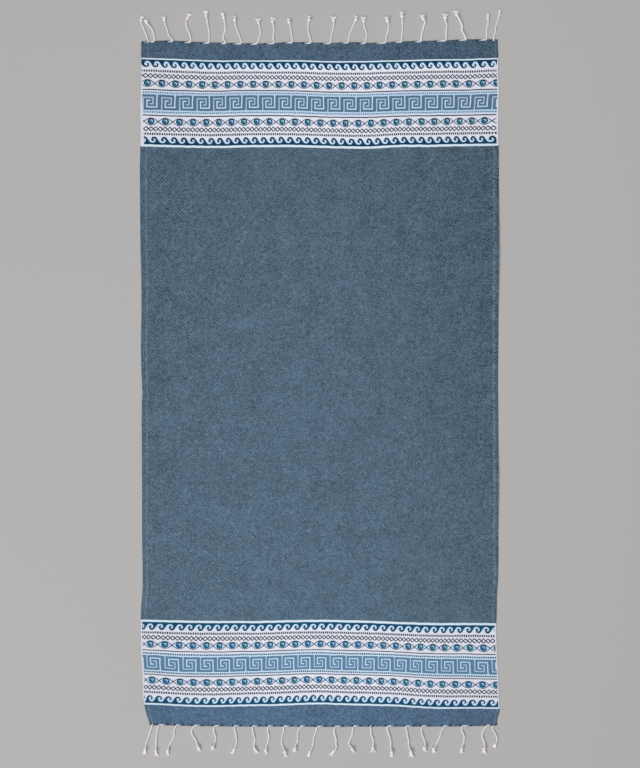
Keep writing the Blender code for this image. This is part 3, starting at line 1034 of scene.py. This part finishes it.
def fringe_tree():
    """Geometry Nodes that spin, knot and fray cotton along the lines of a fringe."""
    tree = bpy.data.node_groups.new("knotted_fringe", "GeometryNodeTree")
    for name, kind, value in (
        ("Paths", "Geometry", None),
        ("Lay", "Float", 0.009),
        ("Knot Turns", "Float", 2.1),
        ("Strands", "Int", 64),
        ("Strand Thick", "Float", 0.0012),
        ("Splay", "Float", 1.2),
        ("Seed", "Int", 1),
        ("Cotton", "Material", None),
        ("Frayed", "Material", None),
        ("Weft", "Material", None),
    ):
        socket = tree.interface.new_socket(name, in_out="INPUT", socket_type="NodeSocket" + kind)
        if value is not None:
            socket.default_value = value
    tree.interface.new_socket("Fringe", in_out="OUTPUT", socket_type="NodeSocketGeometry")
    given = node(tree, "NodeGroupInput").outputs

    def made(kind, inputs=(), **settings):
        return node(tree, kind, inputs, **settings).outputs[0]

    def number(name):
        return Level(tree, given[name])

    def fact(name, kind="FLOAT"):
        """What add_path wrote down of the line."""
        named = made("GeometryNodeInputNamedAttribute", {"Name": name}, data_type=kind)
        return Level(tree, named)

    def vector(operation, *inputs):
        return made("ShaderNodeVectorMath", inputs, operation=operation)

    def scaled(direction, reach):
        return made("ShaderNodeVectorMath", {0: direction, 3: reach}, operation="SCALE")

    def upwards(reach):
        return made("ShaderNodeCombineXYZ", {2: reach})

    def is_part(part):
        return made("FunctionNodeCompare", {2: fact("part", "INT"), 3: part},
                    data_type="INT", operation="EQUAL")

    def paths_of(part, step=None, count=None):
        """The lines of one kind, smoothed and divided into steps or into a count."""
        lines = made("GeometryNodeSeparateGeometry", (given["Paths"], is_part(part)),
                     domain="POINT")
        curves = made("GeometryNodeMeshToCurve", (lines,))
        smooth = made("GeometryNodeCurveSplineType", (curves,), spline_type="CATMULL_ROM")
        divided = {"Curve": smooth, "Length" if step else "Count": step or count}
        return made("GeometryNodeResampleCurve", divided, mode="LENGTH" if step else "COUNT")

    def several(curves, amount):
        copies = node(tree, "GeometryNodeDuplicateElements",
                      {"Geometry": curves, "Amount": amount}, domain="SPLINE").outputs
        return copies[0], Level(tree, copies[1])

    def moved(curves, offset):
        return made("GeometryNodeSetPosition", {"Geometry": curves, "Offset": offset})

    def tube(curves, radius, sides):
        ring = made("GeometryNodeCurvePrimitiveCircle", {"Resolution": sides, "Radius": 1.0})
        return made("GeometryNodeCurveToMesh", {
            "Curve": curves, "Profile Curve": ring, "Scale": radius, "Fill Caps": True})

    parameter = node(tree, "GeometryNodeSplineParameter").outputs
    share, length = Level(tree, parameter["Factor"]), Level(tree, parameter["Length"])
    tangent = made("GeometryNodeInputTangent")
    side = vector("NORMALIZE", vector("CROSS_PRODUCT", tangent, (0.0, 0.0, 1.0)))
    thick = fact("thick")

    def round_about(angle, reach):
        """A step out from a line, turned by the angle about it."""
        aside = scaled(side, angle.math("COSINE") * reach)
        return vector("ADD", aside, upwards(angle.math("SINE") * reach))

    def swelling(power):
        """0 at both ends of a line and 1 midway; the lower the power, the rounder."""
        return (share * math.pi).math("SINE").math("POWER", power)

    # Two plies wound round each other
    plies, ply = several(paths_of(CORD, step=PLY_STEP * MM), 2)
    angle = length.math("DIVIDE", number("Lay")) * math.tau + ply * math.pi
    plies = tube(moved(plies, round_about(angle, thick * PLY_OUT)), thick * PLY_RADIUS, 6)

    # A few turns of the cord round itself
    swell = swelling(0.5)
    turns = share * number("Knot Turns") * math.tau
    knots = moved(paths_of(KNOT, count=40), round_about(turns, thick * swell * TURN_OUT))
    knots = tube(knots, thick * (swell * TURN_OUT + TURN_RADIUS), 8)

    # Strands that spread from the knot, each at its own chance: which side it goes to, where it
    # starts, how it waves, how high it lies and how far it reaches
    strands = several(paths_of(TUFT, count=7), number("Strands"))[0]
    line = made("GeometryNodeCurveOfPoint", {0: made("GeometryNodeInputIndex")})
    chances = []
    for salt in range(5):
        chance = node(tree, "FunctionNodeRandomValue", {
            2: 0.0, 3: 1.0, "ID": line, "Seed": number("Seed") + float(salt)},
            data_type="FLOAT")
        chances.append(Level(tree, chance.outputs[1]))
    spread = chances[0].choose(fact("fan_left") * -1.0, fact("fan_right"))
    aside = spread * (share.math("POWER", FAN_POWER) * number("Splay"))
    across = (chances[1] - 0.5) * thick * TUFT_SPREAD * (1.0 - share * CLOSE_ACROSS)
    wave = (share * STRAND_WAVES + chances[2] * STRAND_WAVE_CHANCE).math("SINE")
    aside = aside + across + wave * share * STRAND_WAVE_WIDE * MM
    up = (chances[3] - 0.5) * thick * TUFT_SPREAD * (1.0 - share * CLOSE_IN_HEIGHT)
    onward = scaled(tangent, length * (chances[4] - TIPS_BACK) * TIPS_UNEVEN)
    offset = vector("ADD", vector("ADD", scaled(side, aside), upwards(up)), onward)
    tapering = number("Strand Thick") * (1.0 - share * STRAND_THINS) * 0.5
    tufts = tube(moved(strands, offset), tapering, 4)

    # Warp ends drawn along the cloth's end to the root, and the loops of weft that they left
    warp = tube(paths_of(WARP, count=12), thick * (swelling(0.35) * 0.25 + 0.25), 5)
    weft = tube(paths_of(WEFT, count=12), thick * 0.5, 5)

    whole = node(tree, "GeometryNodeJoinGeometry")
    for piece in (plies, knots, tufts, warp, weft):
        tree.links.new(piece, whole.inputs[0])
    whole = made("GeometryNodeSetShadeSmooth", (whole.outputs[0],))
    whole = made("GeometryNodeRealizeInstances", (whole,))
    whole = made("GeometryNodeSetMaterial", {"Geometry": whole, "Material": given["Cotton"]})
    for part, finish in ((TUFT, "Frayed"), (WEFT, "Weft")):
        whole = made("GeometryNodeSetMaterial", {
            "Geometry": whole, "Selection": is_part(part), "Material": given[finish]})
    node(tree, "NodeGroupOutput", (whole,))
    return tree


FIBRES, BLOTCHES = 1400.0, 60.0  # how many to the metre
FIBRE_LONG = 4.0  # how much longer a fibre is than it is wide
FIBRES_SHOW, SHADOW_SHOWS = 1.2, 0.7


def finish_yarn(name, light, shadow, roughness):
    """Spun cotton: fine fibres along the cords, in two near tones."""
    material, tree, shader = new_finish(name)
    place = node(tree, "ShaderNodeTexCoord").outputs["Object"]
    fibres = node(tree, "ShaderNodeMapping", {"Vector": place, "Scale": (1, 1 / FIBRE_LONG, 1)})
    fibres = node(tree, "ShaderNodeTexNoise", {
        "Vector": fibres.outputs[0], "Scale": FIBRES, "Detail": 3.0, "Roughness": 0.6})
    blotches = node(tree, "ShaderNodeTexNoise", {
        "Vector": place, "Scale": BLOTCHES, "Detail": 2.0})
    tone_and_shade = Level(tree, fibres.outputs["Fac"]) * FIBRES_SHOW
    tone_and_shade = tone_and_shade + Level(tree, blotches.outputs["Fac"]) - SHADOW_SHOWS
    bump = node(tree, "ShaderNodeBump", {
        "Strength": 0.4, "Distance": 0.12 * MM, "Height": fibres.outputs["Fac"]})
    fill(tree, shader, {
        "Base Color": laid_over(tree, shadow, (light, tone_and_shade)),
        "Roughness": roughness,
        "Specular IOR Level": 0.25,
        "Sheen Weight": 0.2,
        "Sheen Roughness": 0.5,
        "Normal": bump.outputs[0],
    })
    return material


cord_cotton = finish_yarn("cord_cotton", dye(253, 251, 252), dye(232, 227, 229), 0.85)
# The head fringe's tufts get a whiter cotton than the foot fringe's, which keep the cords'
# cotton: painted light
tuft_cotton_painted_light = finish_yarn("tuft_cotton_painted_light", dye(255, 254, 255), dye(246, 242, 244), 0.9)
# The weft loops are coloured much darker than the weft in the cloth
loop_weft = finish_yarn("loop_weft", dye(24, 42, 64), dye(10, 20, 36), 0.9)
spun = fringe_tree()


def make_fringe(name, outward, cords, frayed, strand_thick, seed):
    """One fringe, with its nodes' result as a plain mesh."""
    paths = fringe_paths(name + "_paths", outward, cords)
    spinning = paths.modifiers.new("spinning", "NODES")
    spinning.node_group = spun
    inputs = {
        "Lay": LAY * MM,
        "Strand Thick": strand_thick * MM,
        "Seed": seed,
        "Cotton": cord_cotton,
        "Frayed": frayed,
        "Weft": loop_weft,
    }
    for item in spun.interface.items_tree:
        if item.name in inputs:
            spinning[item.identifier] = inputs[item.name]
    seen = paths.evaluated_get(bpy.context.evaluated_depsgraph_get())
    mesh = bpy.data.meshes.new_from_object(seen)
    mesh.name = name
    bpy.data.objects.remove(paths, do_unlink=True)
    return placed(name, mesh)


# The head fringe's tufts are painted lighter than the foot fringe's
head_fringe = make_fringe("head_fringe", 1, HEAD_CORDS, tuft_cotton_painted_light, 1.7, 11)
foot_fringe = make_fringe("foot_fringe", -1, FOOT_CORDS, cord_cotton, 1.1, 23)
for fringe, stood_for in ((head_fringe, "fringe_head"), (foot_fringe, "fringe_foot")):
    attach(fringe, "root")
    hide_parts(stood_for)


# ---------- The floor, the light and the camera ----------
#
# A plain pale floor.  A large soft light from the lower left and another one overhead.  The
# camera looks straight down, as in the photograph.

FLOOR_SIDE = 14.0
FLOOR_HIGH = -0.0002  # just under the cloth
half = FLOOR_SIDE / 2
corners = ((-half, -half), (half, -half), (half, half), (-half, half))
floor_mesh = bpy.data.meshes.new("floor")
floor_mesh.from_pydata([(x, y, FLOOR_HIGH) for x, y in corners], [], [(0, 1, 2, 3)])
floor = placed("floor", floor_mesh)
floor_paint, floor_tree, floor_shader = new_finish("pale_floor")
fill(floor_tree, floor_shader, {"Base Color": dye(180, 178, 176), "Roughness": 0.9})
floor_mesh.materials.append(floor_paint)

scene = bpy.context.scene
scene.view_settings.view_transform = "Standard"
sky = bpy.data.worlds.new("studio")
sky.use_nodes = True
fill(sky.node_tree, sky.node_tree.nodes["Background"], {
    "Color": (0.98, 0.99, 1.0, 1.0), "Strength": 0.22})
scene.world = sky


def soft_light(name, place, side, watts):
    """A square softbox that faces the middle of the towel."""
    lamp = bpy.data.lights.new(name, "AREA")
    lamp.shape = "SQUARE"
    lamp.size = side
    lamp.energy = watts
    holder = placed(name, lamp)
    holder.location = place
    holder.rotation_euler = (-Vector(place)).to_track_quat("-Z", "Y").to_euler()


soft_light("key_light", (-4.3, -5.2, 5.8), 3.4, 480.0)
soft_light("top_light", (0.6, 1.6, 5.0), 3.0, 120.0)

CAMERA_HIGH = 4.57
camera_data = bpy.data.cameras.new("camera")
camera_data.lens = 85.0
camera_data.sensor_width = 36.0
camera_data.clip_end = 60.0
camera = placed("camera", camera_data)
camera.location = (0.0, 0.0, CAMERA_HIGH)
scene.camera = camera
